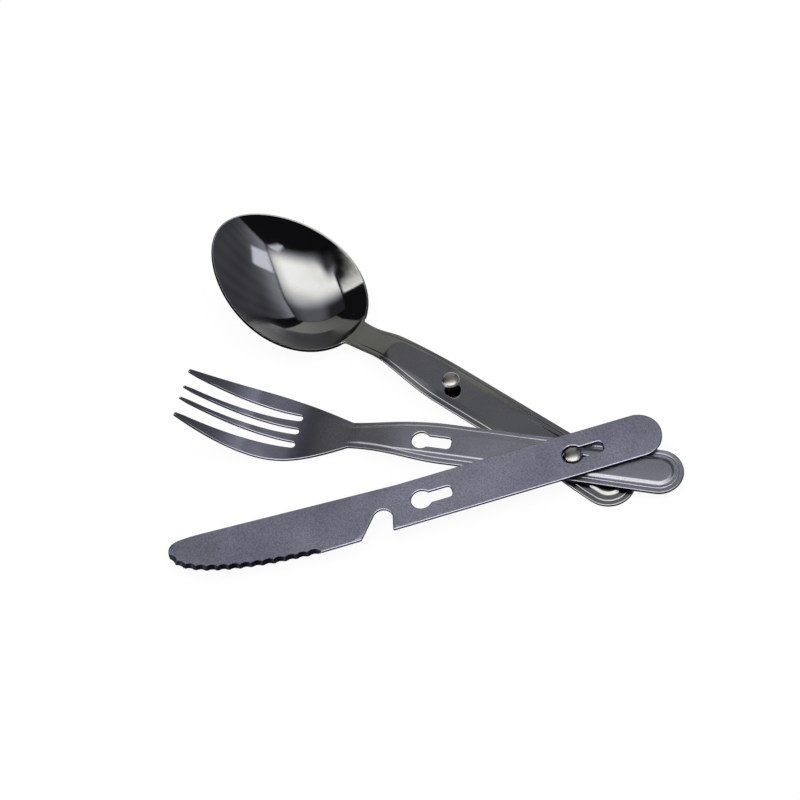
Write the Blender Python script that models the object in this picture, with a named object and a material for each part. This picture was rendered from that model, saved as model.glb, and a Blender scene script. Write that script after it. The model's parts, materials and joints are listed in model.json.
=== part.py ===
"""Three-piece picnic cutlery that locks together on two headed studs.

The spoon carries the studs, riveted through the sunk panel of its handle. The fork and the knife each
have two keyholes at the studs' spacing. Here both are fanned out on the rear stud: the fork lies on the
spoon's raised border with its hole round the shank, and the knife lies on the fork round the stud's head.

Metres, +Z up. Each piece is drawn along its own +X, from the rear stud towards its working end, with +Y to
its left. Heights are from the top face of the spoon's panel. The whole set is then turned so that it stands
on the bowl, the end of the spoon's handle and the fork's belly, as it lies on a table.
"""

import math

import bmesh
import bpy
import numpy as np
from mathutils import Matrix, Vector

# Studs
STUD_SPACING = 0.0565
HEAD_DIAMETER = 0.0066
HEAD_HEIGHT = 0.0016
HEAD_RIM = 0.0006
SHANK_DIAMETER = 0.0040
TENON_DIAMETER = 0.0026
TAIL_DIAMETER = 0.0050
TAIL_HEIGHT = 0.0006

# Clearances
SEAT_GAP = 0.0003
SLIDE_GAP = 0.0003
RIVET_GAP = 0.0002
HEAD_CLEARANCE = 0.0005
SHANK_CLEARANCE = 0.0003

# Keyholes: a round hole that lets the head through, and a slot that runs back from it
SLOT_REACH = 0.0113
SLOT_CORNER = 0.0014
KEYHOLE_DIAMETER = HEAD_DIAMETER + 2 * HEAD_CLEARANCE
SLOT_WIDTH = SHANK_DIAMETER + 2 * SHANK_CLEARANCE

# Sheet thicknesses
SPOON_GAUGE = 0.0012
FORK_GAUGE = 0.0012
KNIFE_GAUGE = 0.0012

# Where the widening towards a handle's rounded end begins
HANDLE_FLARE_END = 0.0100

# Pressed section of the spoon's and the fork's handles, measured in from the edge and up from the panel
BORDER_WIDTH = 0.0046
STEP_WIDTH = 0.0010
CREST_RISE = 0.0009
EDGE_RISE = 0.00035

# Spoon
SPOON_HANDLE_WIDTH = 0.0175
SPOON_TAIL = 0.0252
SPOON_TAIL_WIDTH = 0.0195
SPOON_SHOULDER = 0.0580
SPOON_NECK = 0.1010
SPOON_NECK_WIDTH = 0.0109
SPOON_NECK_RISE = 0.0018
SPOON_NECK_TOP = 0.0800
BOWL_CENTRE = 0.1345
BOWL_WIDTH = 0.0488
BOWL_HEEL_LENGTH = 0.0292
BOWL_TIP_LENGTH = 0.0350
BOWL_TIP_POINT = 0.10
BOWL_DEPTH = 0.0105
BOWL_FULLNESS = 2.3
BOWL_CORNER = 0.0036
BOWL_HEEL_DIP = 0.0028
BOWL_HEEL = 0.1070
BOWL_TIP_RISE = 0.0187
BOWL_RIM_BEND = 1.2

# Fork
FORK_HANDLE_WIDTH = 0.0168
FORK_TAIL = 0.0399
FORK_TAIL_WIDTH = 0.0178
FORK_SHOULDER = 0.0480
FORK_NECK = 0.0840
FORK_NECK_WIDTH = 0.0108
FORK_HEAD_WIDTH = 0.0280
FORK_WIDEST = 0.1180
FORK_TIP = 0.1468
FORK_TIP_WIDTH = 0.0206
FORK_TIP_BEND = 1.8
FORK_DIP_START = 0.0620
FORK_BELLY = 0.1060
FORK_BELLY_DIP = 0.0055
FORK_TIP_RISE = 0.0128
FORK_RISE_BEND = 1.82
FORK_SLACK = 0.0011
TINE_ROOT = 0.1045
TINE_PITCH = 0.0059
TINE_GAP_ROOT = 0.0024
INNER_TINE_TIP = 0.0025
INNER_TINE_TIP_WIDTH = 0.0014
OUTER_TINE_TIP_WIDTH = 0.0016
TINE_POINT = 0.0030
TINE_POINT_CUT = 0.0003

# Knife
KNIFE_HANDLE_WIDTH = 0.0176
KNIFE_TAIL = 0.0330
KNIFE_TIP = 0.1493
BLADE_START = 0.0640
BLADE_BACK_END = 0.1380
BLADE_BACK = 0.0124
BLADE_TIP_OFFSET = 0.0072
BLADE_EDGE = 0.0092
EDGE_TIP_PULL = 0.0086
EDGE_START_PULL = 0.0310
EDGE_START_DROP = 0.0018
SERRATION_START = 0.0970
SCALLOPS = 14
SCALLOP_DEPTH = 0.0005
GRIND_WIDTH = 0.0017
GRIND_RUNOUT = 0.0012
EDGE_LAND = 0.0003
OPENER_CENTRE = 0.0719
OPENER_RADIUS = 0.0036
OPENER_DEPTH = 0.0094
OPENER_MOUTH = 0.0814
OPENER_HOOK = 0.0012
KNIFE_SLACK = 0.0002

# How far the fork and the knife are swung out from the spoon, in degrees
FORK_SWING = 26.0
KNIFE_SWING = 54.0

# Heights that follow from the stack
FORK_PANEL = CREST_RISE + SEAT_GAP + FORK_GAUGE
KNIFE_UNDERSIDE = FORK_PANEL + CREST_RISE + SEAT_GAP
HEAD_SEAT = FORK_GAUGE + CREST_RISE + KNIFE_GAUGE + SLIDE_GAP

# How finely the round and curved stretches are divided
ROUND_SIDES = 24
END_ROWS = 12
HANDLE_ROWS = 10
HEAD_ROWS = 16
PANEL_COLUMNS = 2
STEP_COLUMNS = 2
BORDER_COLUMNS = 2
POINTS_PER_SCALLOP = 5
EDGE_STEPS = 200
CURVE_POINTS = 8
CUTTER_REACH = 0.030


def ease(share):
    """0 to 1 with a flat start and a flat end."""
    share = min(1.0, max(0.0, share))
    return share * share * (3 - 2 * share)


def between(value, low, high):
    """How far value lies along the way from low to high."""
    return (value - low) / (high - low)


def soft_maximum(a, b, blend):
    """The larger of two lengths, with their corner rounded over about blend."""
    return 0.5 * (a + b + math.sqrt((a - b) ** 2 + blend**2))


def pressed_relief(inset, half_width):
    """Height of the pressed section above the panel, at a distance in from the edge."""
    border = min(BORDER_WIDTH, 0.9 * half_width)
    crest = border - STEP_WIDTH
    if inset >= crest:
        return CREST_RISE * ease((border - inset) / STEP_WIDTH)
    return EDGE_RISE + (CREST_RISE - EDGE_RISE) * (1 - (1 - inset / crest) ** 2)


def spoon_half_width(x):
    """Half the spoon's width at x, from the straight handle to the middle of the bowl."""
    narrowing = ease(between(x, SPOON_SHOULDER, SPOON_NECK))
    flare = 1 - ease(between(x, 0.5 * SPOON_TAIL_WIDTH - SPOON_TAIL, HANDLE_FLARE_END))
    stem = SPOON_HANDLE_WIDTH + (SPOON_NECK_WIDTH - SPOON_HANDLE_WIDTH) * narrowing
    stem = 0.5 * (stem + (SPOON_TAIL_WIDTH - SPOON_HANDLE_WIDTH) * flare)
    reach = (x - BOWL_CENTRE) / BOWL_HEEL_LENGTH
    inside = 1 - reach * reach
    bowl = 0.5 * BOWL_WIDTH * (math.sqrt(inside) if inside > 0 else inside)
    return soft_maximum(stem, bowl, BOWL_CORNER)


def spoon_spine(x):
    """Height of the spoon's rim line at x: level handle, slight rise, dip at the heel, then up to the tip."""
    if x < SPOON_NECK_TOP:
        return SPOON_NECK_RISE * ease(between(x, SPOON_SHOULDER, SPOON_NECK_TOP))
    if x < BOWL_HEEL:
        drop = SPOON_NECK_RISE + BOWL_HEEL_DIP
        return SPOON_NECK_RISE - drop * ease(between(x, SPOON_NECK_TOP, BOWL_HEEL))
    tip = BOWL_CENTRE + BOWL_TIP_LENGTH
    climb = BOWL_TIP_RISE + BOWL_HEEL_DIP
    return climb * between(x, BOWL_HEEL, tip) ** BOWL_RIM_BEND - BOWL_HEEL_DIP


def bowl_hollow(x, y):
    """Depth of the bowl below its rim line."""
    length = BOWL_TIP_LENGTH if x > BOWL_CENTRE else BOWL_HEEL_LENGTH
    point = BOWL_TIP_POINT if x > BOWL_CENTRE else 0.0
    along = (x - BOWL_CENTRE) / length
    across = y / (0.5 * BOWL_WIDTH * (1 - point * along * along))
    return BOWL_DEPTH * max(0.0, 1 - math.hypot(along, across) ** BOWL_FULLNESS)


def spoon_height(x, y):
    """Top face of the spoon."""
    half = 0.5 * SPOON_TAIL_WIDTH
    pivot = half - SPOON_TAIL
    inset = half - math.hypot(x - pivot, y) if x < pivot else spoon_half_width(x) - abs(y)
    fade = 1 - ease(between(x, SPOON_NECK_TOP, SPOON_NECK))
    relief = pressed_relief(max(0.0, inset), spoon_half_width(x)) * fade
    return spoon_spine(x) + relief - bowl_hollow(x, y)


def fork_half_width(x):
    """Half the fork's width at x."""
    if x < FORK_NECK:
        narrowing = ease(between(x, FORK_SHOULDER, FORK_NECK))
        flare = 1 - ease(between(x, 0.5 * FORK_TAIL_WIDTH - FORK_TAIL, HANDLE_FLARE_END))
        stem = FORK_HANDLE_WIDTH + (FORK_NECK_WIDTH - FORK_HANDLE_WIDTH) * narrowing
        return 0.5 * (stem + (FORK_TAIL_WIDTH - FORK_HANDLE_WIDTH) * flare)
    if x < FORK_WIDEST:
        swell = math.sin(0.5 * math.pi * between(x, FORK_NECK, FORK_WIDEST))
        return 0.5 * (FORK_NECK_WIDTH + (FORK_HEAD_WIDTH - FORK_NECK_WIDTH) * swell)
    taper = between(x, FORK_WIDEST, FORK_TIP) ** FORK_TIP_BEND
    return 0.5 * (FORK_HEAD_WIDTH + (FORK_TIP_WIDTH - FORK_HEAD_WIDTH) * taper)


def fork_spine(x):
    """Height of the fork above its panel's level: down to the belly, then up to the points."""
    if x < FORK_BELLY:
        return -FORK_BELLY_DIP * ease(between(x, FORK_DIP_START, FORK_BELLY))
    climb = FORK_TIP_RISE + FORK_BELLY_DIP
    return climb * between(x, FORK_BELLY, FORK_TIP) ** FORK_RISE_BEND - FORK_BELLY_DIP


def fork_height(x, y):
    """Top face of the fork."""
    half = 0.5 * FORK_TAIL_WIDTH
    pivot = half - FORK_TAIL
    inset = half - math.hypot(x - pivot, y) if x < pivot else fork_half_width(x) - abs(y)
    fade = 1 - ease(between(x, FORK_DIP_START, FORK_NECK))
    relief = pressed_relief(max(0.0, inset), fork_half_width(x)) * fade
    return FORK_PANEL + fork_spine(x) + relief


def row_shares(half_width, evenness):
    """Shares of the way from the spine to the edge, gathered at the pressed step where there is one."""
    border = min(BORDER_WIDTH, 0.9 * half_width)
    crest = border - STEP_WIDTH
    panel = np.linspace(0, half_width - border, PANEL_COLUMNS, endpoint=False)
    step = np.linspace(half_width - border, half_width - crest, STEP_COLUMNS, endpoint=False)
    rim = np.linspace(half_width - crest, half_width, BORDER_COLUMNS + 1)
    gathered = np.concatenate([panel, step, rim]) / half_width
    even = np.linspace(0, 1, len(gathered))
    return gathered + (even - gathered) * evenness


def end_rows(centre, length, half_width, start, stop, evenness, point=0.0):
    """Rows that fan round a rounded end: each is where it starts, where it ends and its shares."""
    rows = []
    for angle in np.linspace(start, stop, END_ROWS + 1):
        along, across = math.cos(angle), math.sin(angle)
        edge = (centre + length * along, half_width * across * (1 - point * along * along))
        rows.append(((centre, 0.0), edge, row_shares(half_width, evenness)))
    return rows


def side_rows(stations, half_width_at, evenness_at, side):
    """Rows that run square from the spine to one edge."""
    rows = []
    for x in stations:
        half = half_width_at(x)
        rows.append(((x, 0.0), (x, side * half), row_shares(half, evenness_at(x))))
    return rows


def sheet_surface(name, rows, closed, height):
    """Mesh of a pressed sheet's top face, from rows that run round its outline."""
    mesh = bmesh.new()
    lines = []
    for (x0, y0), (x1, y1), shares in rows:
        line = []
        for share in shares:
            x = x0 + (x1 - x0) * share
            y = y0 + (y1 - y0) * share
            line.append(mesh.verts.new((x, y, height(x, y))))
        lines.append(line)
    pairs = list(zip(lines, lines[1:] + lines[:1]))
    for line, following in pairs if closed else pairs[:-1]:
        for inner in range(len(line) - 1):
            outer = inner + 1
            mesh.faces.new((line[inner], line[outer], following[outer], following[inner]))
    merge_distance = 1e-6
    bmesh.ops.remove_doubles(mesh, verts=mesh.verts, dist=merge_distance)
    bmesh.ops.recalc_face_normals(mesh, faces=mesh.faces)
    if sum(face.normal.z * face.calc_area() for face in mesh.faces) < 0:
        bmesh.ops.reverse_faces(mesh, faces=mesh.faces)
    return finish_mesh(name, mesh)


def finish_mesh(name, mesh):
    """Puts a bmesh into a new object of the scene, shaded smooth with its sharp corners kept."""
    data = bpy.data.meshes.new(name)
    mesh.to_mesh(data)
    mesh.free()
    data.shade_smooth()
    data.set_sharp_from_angle(angle=math.radians(35))
    made = bpy.data.objects.new(name, data)
    bpy.context.scene.collection.objects.link(made)
    return made


def prism(name, levels):
    """A solid through outlines of the same number of points, each (outline, height), from the bottom up."""
    mesh = bmesh.new()
    rings = [[mesh.verts.new((x, y, z)) for x, y in outline] for outline, z in levels]
    mesh.faces.new(rings[0][::-1])
    mesh.faces.new(rings[-1])
    for low, high in zip(rings, rings[1:]):
        for i in range(len(low)):
            j = (i + 1) % len(low)
            mesh.faces.new((low[i], low[j], high[j], high[i]))
    return finish_mesh(name, mesh)


def turned(name, profile):
    """A solid of revolution about Z, from a profile of (radius, height) that starts and ends on the axis."""
    mesh = bmesh.new()
    rings = []
    for radius, z in profile[1:-1]:
        angles = [2 * math.pi * i / ROUND_SIDES for i in range(ROUND_SIDES)]
        rings.append([mesh.verts.new((radius * math.cos(a), radius * math.sin(a), z)) for a in angles])
    bottom = mesh.verts.new((0, 0, profile[0][1]))
    top = mesh.verts.new((0, 0, profile[-1][1]))
    for i in range(ROUND_SIDES):
        j = (i + 1) % ROUND_SIDES
        mesh.faces.new((bottom, rings[0][j], rings[0][i]))
        mesh.faces.new((top, rings[-1][i], rings[-1][j]))
        for low, high in zip(rings, rings[1:]):
            mesh.faces.new((low[i], low[j], high[j], high[i]))
    return finish_mesh(name, mesh)


def arc(centre, radius, start, stop, steps):
    """Points on a circle, from one angle to another in degrees."""
    angles = np.radians(np.linspace(start, stop, steps + 1))
    return [(centre[0] + radius * math.cos(a), centre[1] + radius * math.sin(a)) for a in angles]


def bezier(points, steps):
    """Points along a cubic curve."""
    a, b, c, d = (np.array(p) for p in points)
    shares = np.linspace(0, 1, steps + 1)
    curve = []
    for t in shares:
        back = 1 - t
        curve.append(tuple(back**3 * a + 3 * back**2 * t * b + 3 * back * t * t * c + t**3 * d))
    return curve


def even_points(points, steps):
    """Points at even distances along a line through many points."""
    points = np.array(points)
    lengths = np.concatenate([[0.0], np.cumsum(np.linalg.norm(np.diff(points, axis=0), axis=1))])
    places = np.linspace(0, lengths[-1], steps + 1)
    return np.stack([np.interp(places, lengths, points[:, axis]) for axis in (0, 1)], axis=1)


def keyhole_outline(x, y):
    """A keyhole whose round hole is centred at (x, y) and whose slot runs back towards the handle's end."""
    half = 0.5 * SLOT_WIDTH
    radius = 0.5 * KEYHOLE_DIAMETER
    mouth = math.degrees(math.asin(half / radius))
    corner = min(SLOT_CORNER, half)
    end = x - SLOT_REACH + corner
    points = arc((x, y), radius, mouth - 180, 180 - mouth, ROUND_SIDES)
    points += arc((end, y + half - corner), corner, 90, 180, CURVE_POINTS // 2)
    points += arc((end, y + corner - half), corner, 180, 270, CURVE_POINTS // 2)
    return points


def material(name, colour, roughness):
    """Bare steel of one finish."""
    made = bpy.data.materials.new(name)
    made.use_nodes = True
    shader = made.node_tree.nodes["Principled BSDF"]
    shader.inputs["Base Color"].default_value = (*colour, 1)
    shader.inputs["Metallic"].default_value = 1.0
    shader.inputs["Roughness"].default_value = roughness
    return made


def cut(piece, outline, name):
    """Cuts an outline right through a piece with a hidden prism."""
    cutter = prism(name, [(outline, -CUTTER_REACH), (outline, CUTTER_REACH)])
    cutter.hide_render = True
    cutter.display_type = "WIRE"
    cutter.parent = piece
    boolean = piece.modifiers.new(name, "BOOLEAN")
    boolean.object = cutter
    boolean.operation = "DIFFERENCE"


def thicken(piece, gauge):
    """Gives a top face its sheet thickness, downwards."""
    solidify = piece.modifiers.new("sheet", "SOLIDIFY")
    solidify.thickness = gauge
    solidify.offset = -1
    solidify.use_quality_normals = True


def handle_stations(pivot, shoulder, neck):
    """Where the rows lie along a handle, from the rounded end to the neck."""
    straight = np.linspace(pivot, shoulder, HANDLE_ROWS)
    return list(straight) + list(np.linspace(shoulder, neck, HANDLE_ROWS)[1:])


def make_spoon():
    """Spoon: a fan of rows round the handle's end, square rows to the bowl's middle, a fan round the tip."""
    half = 0.5 * SPOON_TAIL_WIDTH
    pivot = half - SPOON_TAIL
    middle = spoon_half_width(BOWL_CENTRE)
    heel = BOWL_CENTRE - BOWL_HEEL_LENGTH * np.cos(np.linspace(0, 0.5 * math.pi, HEAD_ROWS))
    stations = handle_stations(pivot, SPOON_SHOULDER, SPOON_NECK) + list(heel[heel > SPOON_NECK])

    def evenness(x):
        return ease(between(x, SPOON_NECK_TOP, BOWL_HEEL))

    rows = end_rows(pivot, half, half, 0.5 * math.pi, 1.5 * math.pi, 0.0)
    rows += side_rows(stations[1:-1], spoon_half_width, evenness, -1)
    right, left = -0.5 * math.pi, 0.5 * math.pi
    rows += end_rows(BOWL_CENTRE, BOWL_TIP_LENGTH, middle, right, left, 1.0, BOWL_TIP_POINT)
    rows += side_rows(stations[-2:0:-1], spoon_half_width, evenness, 1)
    spoon = sheet_surface("spoon", rows, True, spoon_height)
    thicken(spoon, SPOON_GAUGE)
    for name, x in (("rear_rivet_hole", 0.0), ("front_rivet_hole", STUD_SPACING)):
        cut(spoon, arc((x, 0), 0.5 * TENON_DIAMETER + RIVET_GAP, 0, 360, ROUND_SIDES)[:-1], name)
    return spoon


def tine_gap(root_middle, low_tip, high_tip):
    """Outline of the gap between two tines: a round root, straight sides, then a flare where the tines end.

    The tips are where the gap's two sides would meet the fork's end.
    """
    radius = 0.5 * TINE_GAP_ROOT
    start = TINE_ROOT + radius
    share = between(FORK_TIP - TINE_POINT, start, FORK_TIP)
    far = between(FORK_TIP + TINE_POINT, start, FORK_TIP)
    low = root_middle - radius
    high = root_middle + radius
    outline = arc((start, root_middle), radius, 90, 270, CURVE_POINTS)
    outline.append((FORK_TIP - TINE_POINT, low + (low_tip - low) * share))
    outline.append((FORK_TIP + TINE_POINT, low + (low_tip - low) * far - 2 * TINE_POINT_CUT))
    outline.append((FORK_TIP + TINE_POINT, high + (high_tip - high) * far + 2 * TINE_POINT_CUT))
    outline.append((FORK_TIP - TINE_POINT, high + (high_tip - high) * share))
    return [(x, y + FORK_SLACK) for x, y in outline]


def make_fork():
    """Fork: a fan of rows round the handle's end, then square rows to the points; the gaps are cut through."""
    half = 0.5 * FORK_TAIL_WIDTH
    pivot = half - FORK_TAIL
    stations = handle_stations(pivot, FORK_SHOULDER, FORK_NECK)
    stations += list(np.linspace(FORK_NECK, FORK_TIP, HEAD_ROWS)[1:])

    def evenness(x):
        return ease(between(x, FORK_DIP_START, FORK_NECK))

    rows = side_rows(stations[:0:-1], fork_half_width, evenness, 1)
    rows += end_rows(pivot, half, half, 0.5 * math.pi, 1.5 * math.pi, 0.0)
    rows += side_rows(stations[1:], fork_half_width, evenness, -1)
    fork = sheet_surface("fork", rows, False, fork_height)
    fork.data.transform(Matrix.Translation((0, FORK_SLACK, 0)))
    thicken(fork, FORK_GAUGE)
    for name, x in (("fork_rear_keyhole", 0.0), ("fork_front_keyhole", STUD_SPACING)):
        cut(fork, keyhole_outline(x, FORK_SLACK), name)
    inner = INNER_TINE_TIP - 0.5 * INNER_TINE_TIP_WIDTH
    side = INNER_TINE_TIP + 0.5 * INNER_TINE_TIP_WIDTH
    outer = 0.5 * FORK_TIP_WIDTH - OUTER_TINE_TIP_WIDTH
    cut(fork, tine_gap(0.0, -inner, inner), "middle_tine_gap")
    cut(fork, tine_gap(TINE_PITCH, side, outer), "left_tine_gap")
    cut(fork, tine_gap(-TINE_PITCH, -outer, -side), "right_tine_gap")
    return fork


def blade_edge():
    """The serrated edge from the tip back to its start, as (edge, inward direction) pairs."""
    start = (KNIFE_TIP, -BLADE_TIP_OFFSET)
    stop = (SERRATION_START, BLADE_EDGE)
    tip_handle = (KNIFE_TIP, EDGE_TIP_PULL - BLADE_TIP_OFFSET)
    start_handle = (SERRATION_START + EDGE_START_PULL, BLADE_EDGE - EDGE_START_DROP)
    curve = bezier([start, tip_handle, start_handle, stop], EDGE_STEPS)
    points = even_points(curve, SCALLOPS * POINTS_PER_SCALLOP)
    along = np.gradient(points, axis=0)
    along /= np.linalg.norm(along, axis=1)[:, None]
    inward = np.stack([-along[:, 1], along[:, 0]], axis=1)
    phase = np.arange(len(points)) / POINTS_PER_SCALLOP
    points = points + inward * (SCALLOP_DEPTH * np.abs(np.sin(math.pi * phase)))[:, None]
    ground = points + inward * GRIND_WIDTH
    runout = (SERRATION_START - GRIND_RUNOUT, BLADE_EDGE)
    return [tuple(p) for p in points] + [runout], [tuple(p) for p in ground] + [runout]


def opener_notch():
    """Bottle-opener notch in the cutting side, from the blade to the handle: slope, round top, hooked wall."""
    half = 0.5 * KNIFE_HANDLE_WIDTH
    centre = (OPENER_CENTRE, half - OPENER_DEPTH + OPENER_RADIUS)
    mouth = (OPENER_MOUTH, BLADE_EDGE)
    offset = (mouth[0] - centre[0], mouth[1] - centre[1])
    slope = math.degrees(math.atan2(offset[1], offset[0]) - math.acos(OPENER_RADIUS / math.hypot(*offset)))
    hook = (OPENER_CENTRE - OPENER_RADIUS + OPENER_HOOK, half)
    return [mouth] + arc(centre, OPENER_RADIUS, slope, -180, CURVE_POINTS) + [hook]


def make_knife():
    """Knife: one outline, flat on both faces, with the serrated stretch ground from the upper face."""
    half = 0.5 * KNIFE_HANDLE_WIDTH
    handle = arc((half - KNIFE_TAIL, 0), half, 90, 270, ROUND_SIDES // 2) + [(BLADE_START, -half)]
    back = (BLADE_BACK_END, -BLADE_BACK)
    tip = (KNIFE_TIP, -BLADE_TIP_OFFSET)
    reach = KNIFE_TIP - BLADE_BACK_END
    bend = (KNIFE_TIP - 0.3 * reach, -BLADE_BACK)
    nose = bezier([back, bend, (KNIFE_TIP, -BLADE_BACK), tip], CURVE_POINTS)[:-1]
    edge, ground = blade_edge()
    notch = opener_notch()
    outline = handle + nose + edge + notch
    upper = handle + nose + ground + notch
    land = KNIFE_UNDERSIDE + EDGE_LAND
    face = KNIFE_UNDERSIDE + KNIFE_GAUGE
    knife = prism("knife", [(outline, KNIFE_UNDERSIDE), (outline, land), (upper, face)])
    for name, x in (("knife_rear_keyhole", 0.0), ("knife_front_keyhole", STUD_SPACING)):
        cut(knife, keyhole_outline(x + KNIFE_SLACK, 0.0), name)
    return knife


def make_stud(name):
    """Headed stud: riveted tail, tenon through the spoon, shank and domed head."""
    head = 0.5 * HEAD_DIAMETER
    shank = 0.5 * SHANK_DIAMETER
    tenon = 0.5 * TENON_DIAMETER
    tail = 0.5 * TAIL_DIAMETER
    under = -SPOON_GAUGE - RIVET_GAP
    rim = HEAD_SEAT + HEAD_RIM
    dome = HEAD_HEIGHT - HEAD_RIM
    profile = [(0, under - TAIL_HEIGHT), (tail, under - TAIL_HEIGHT), (tail, under), (tenon, under)]
    profile += [(tenon, RIVET_GAP), (shank, RIVET_GAP), (shank, HEAD_SEAT), (head, HEAD_SEAT)]
    for angle in np.radians(np.linspace(0, 90, CURVE_POINTS)):
        profile.append((head * math.cos(angle), rim + dome * math.sin(angle)))
    return turned(name, profile)


def points_of(piece):
    """Corners of a finished piece, in the set's frame."""
    seen = piece.evaluated_get(bpy.context.evaluated_depsgraph_get())
    mesh = seen.to_mesh()
    points = [piece.matrix_world @ corner.co for corner in mesh.vertices]
    seen.to_mesh_clear()
    return points


def stand_on_table(carrier, spoon, studs, fork, pieces):
    """Turns the set onto its three feet, and puts the middle of its footprint at the origin."""
    bpy.context.view_layer.update()
    to_spoon = spoon.matrix_world.inverted()
    body = points_of(spoon)
    bowl = [p for p in body if (to_spoon @ p).x > SPOON_NECK]
    tail = [p for p in body if (to_spoon @ p).x < 0] + [p for stud in studs for p in points_of(stud)]
    groups = (bowl, tail, points_of(fork))
    up = Vector((0, 0, 1))
    settling_rounds = 10
    for _ in range(settling_rounds):
        feet = [min(group, key=up.dot) for group in groups]
        up = (feet[1] - feet[0]).cross(feet[2] - feet[0]).normalized()
        up = up if up.z > 0 else -up
    turn = up.rotation_difference(Vector((0, 0, 1)))
    corners = np.array([turn @ p for piece in pieces for p in points_of(piece)])
    low, high = corners.min(axis=0), corners.max(axis=0)
    carrier.rotation_mode = "QUATERNION"
    carrier.rotation_quaternion = turn
    carrier.location = (-0.5 * (low[0] + high[0]), -0.5 * (low[1] + high[1]), -low[2])
    bpy.context.view_layer.update()


def build():
    """Makes the five pieces and sets them down as they lie."""
    for existing in list(bpy.data.objects):
        bpy.data.objects.remove(existing)
    polished = material("polished_steel", (0.55, 0.55, 0.57), 0.12)
    satin = material("satin_steel", (0.42, 0.42, 0.46), 0.34)
    bright = material("stud_steel", (0.70, 0.68, 0.63), 0.20)
    spoon, fork, knife = make_spoon(), make_fork(), make_knife()
    rear, front = make_stud("rear_stud"), make_stud("front_stud")
    front.location.x = -STUD_SPACING
    finishes = ((spoon, polished), (fork, polished), (knife, satin), (rear, bright), (front, bright))
    carrier = bpy.data.objects.new("cutlery_set", None)
    bpy.context.scene.collection.objects.link(carrier)
    for piece, finish in finishes:
        piece.data.materials.append(finish)
        piece.parent = carrier
    for piece, swing in ((spoon, 0.0), (fork, FORK_SWING), (knife, KNIFE_SWING)):
        piece.rotation_euler.z = math.radians(180 + swing)
    stand_on_table(carrier, spoon, (rear, front), fork, [piece for piece, _ in finishes])
    pivot = rear.matrix_world.translation
    axis = rear.matrix_world.to_3x3().col[2]
    print("swivel axis through", [round(v, 6) for v in pivot], "along", [round(v, 6) for v in axis])


build()
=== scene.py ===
# %% [markdown]
# # Picnic cutlery, fanned out on its rear stud
#
# A spoon, a fork and a knife, each stamped from stainless sheet a little over a millimetre thick. Two headed
# studs are riveted through the spoon's handle, and the fork and the knife hang on them by keyholes.
#
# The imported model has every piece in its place, with its joints. Here each one is made again in the same
# frame and at nearly the same sizes, with bevelled edges, pressed lines, ground teeth and steel that catches
# the light.

import json
import math

import bpy
import numpy as np
from mathutils import Matrix, Vector
from mathutils.geometry import delaunay_2d_cdt
from mathutils.kdtree import KDTree


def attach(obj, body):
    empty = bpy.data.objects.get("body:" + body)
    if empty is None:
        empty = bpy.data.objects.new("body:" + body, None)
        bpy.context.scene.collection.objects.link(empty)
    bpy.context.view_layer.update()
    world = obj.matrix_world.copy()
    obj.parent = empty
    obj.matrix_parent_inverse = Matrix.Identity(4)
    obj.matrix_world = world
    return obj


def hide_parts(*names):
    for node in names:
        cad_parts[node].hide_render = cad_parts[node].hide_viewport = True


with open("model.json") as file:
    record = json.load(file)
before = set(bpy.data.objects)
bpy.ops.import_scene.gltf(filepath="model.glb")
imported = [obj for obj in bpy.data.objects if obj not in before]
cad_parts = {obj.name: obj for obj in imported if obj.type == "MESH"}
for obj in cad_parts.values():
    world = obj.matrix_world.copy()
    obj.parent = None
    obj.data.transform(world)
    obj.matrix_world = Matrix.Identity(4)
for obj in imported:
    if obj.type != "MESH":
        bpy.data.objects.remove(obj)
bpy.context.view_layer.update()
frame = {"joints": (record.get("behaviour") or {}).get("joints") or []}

# %% [markdown]
# ## Where the pieces lie
#
# The set lies a little tilted on the table: it stands on the spoon's bowl, the spoon's tail and the fork's
# belly. The rear stud's axis is the swivel of both joints, so it carries the whole arrangement. Each piece is
# drawn along its own +X from that stud, and swung out to its place in the fan.

# %% Place of each piece
swivel = frame["joints"][0]
lean = Vector((0, 0, 1)).rotation_difference(Vector(swivel["axis"]))
SET_PLACE = Matrix.Translation(swivel["pos_m"]) @ lean.to_matrix().to_4x4()


def swung(degrees):
    """Place of a piece that is swung out from the spoon's line."""
    return SET_PLACE @ Matrix.Rotation(math.radians(180 + degrees), 4, "Z")


FORK_SWING, FORK_SLACK, KNIFE_SWING = 26, 0.0011, 54
SPOON_PLACE = swung(0)
FORK_PLACE = swung(FORK_SWING) @ Matrix.Translation((0, FORK_SLACK, 0))
KNIFE_PLACE = swung(KNIFE_SWING)
print("swivel at", [round(v, 4) for v in SET_PLACE.translation])

# %% [markdown]
# ## Camera
#
# The picture is taken from above and in front, with the camera rolled a little. Four things were found from
# the studs, the keyholes and the tips: the height of the sight line, the roll, the distance and the lens. The
# rear stud's head then fixes the rest, because it has to fall on its own pixel.

# %% Camera
PICTURE = 800
LENS = 1953
DISTANCE = 0.700
SENSOR = 36
STUD_PIXEL, STUD_TOP = (573, 454), 0.0069
SIGHT_HEIGHT, ROLL, CAMERA_TURN, CAMERA_DROP = 56, 14, 51.12, 0.002
height, roll = math.radians(SIGHT_HEIGHT), math.radians(ROLL)
sight = Vector((0, math.cos(height), -math.sin(height)))
rise = Vector((0, math.sin(height), math.cos(height)))
right = Vector((math.cos(roll), 0, 0)) - math.sin(roll) * rise
upward = Vector((math.sin(roll), 0, 0)) + math.cos(roll) * rise
eye = Vector((0, 0, STUD_TOP)) - DISTANCE * sight
eye -= DISTANCE / LENS * (STUD_PIXEL[0] - PICTURE / 2) * right
eye += DISTANCE / LENS * (STUD_PIXEL[1] - PICTURE / 2) * upward

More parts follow.
